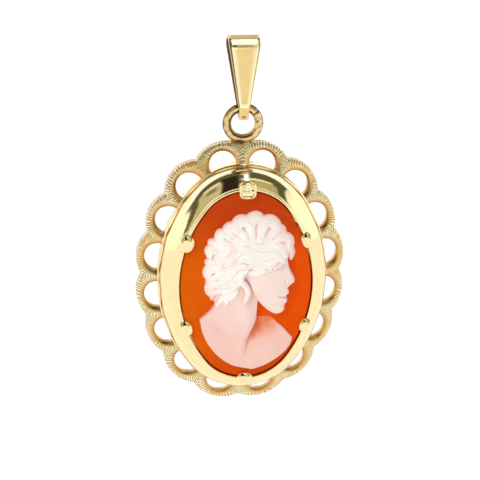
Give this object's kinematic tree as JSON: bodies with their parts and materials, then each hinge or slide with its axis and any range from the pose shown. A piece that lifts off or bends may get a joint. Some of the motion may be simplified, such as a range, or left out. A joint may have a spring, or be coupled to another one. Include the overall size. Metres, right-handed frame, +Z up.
{
  "type": "cameo pendant",
  "caption": "Oval shell cameo pendant: carved profile bust on an orange ground in a domed gold collar with claws and a pierced scalloped border, hung by a ring from a folded bail.",
  "frame": {"origin": "inside top of the bail's eye, where a chain carries the pendant", "axes": "+Z up, the cameo's face looks to -Y, +X to the right as seen from the face; the drop is stored as it hangs, its foot swung back a little"},
  "size_m": [0.021, 0.0089, 0.0375],
  "materials": {
    "bail_gold": "polished",
    "setting_gold": "satin",
    "orange_shell": "polished",
    "white_shell": "satin"
  },
  "bodies": {
    "bail": {"bail": "bail_gold"},
    "drop": {"setting": "setting_gold", "cameo_ground": "orange_shell", "cameo_relief": "white_shell"}
  },
  "joints": [
    {"name": "drop_swing", "type": "hinge", "parent": "bail", "child": "drop", "pos_m": [0, 0, -0.00682], "axis": [1, 0, 0], "range_deg": [-110, 110]}
  ]
}
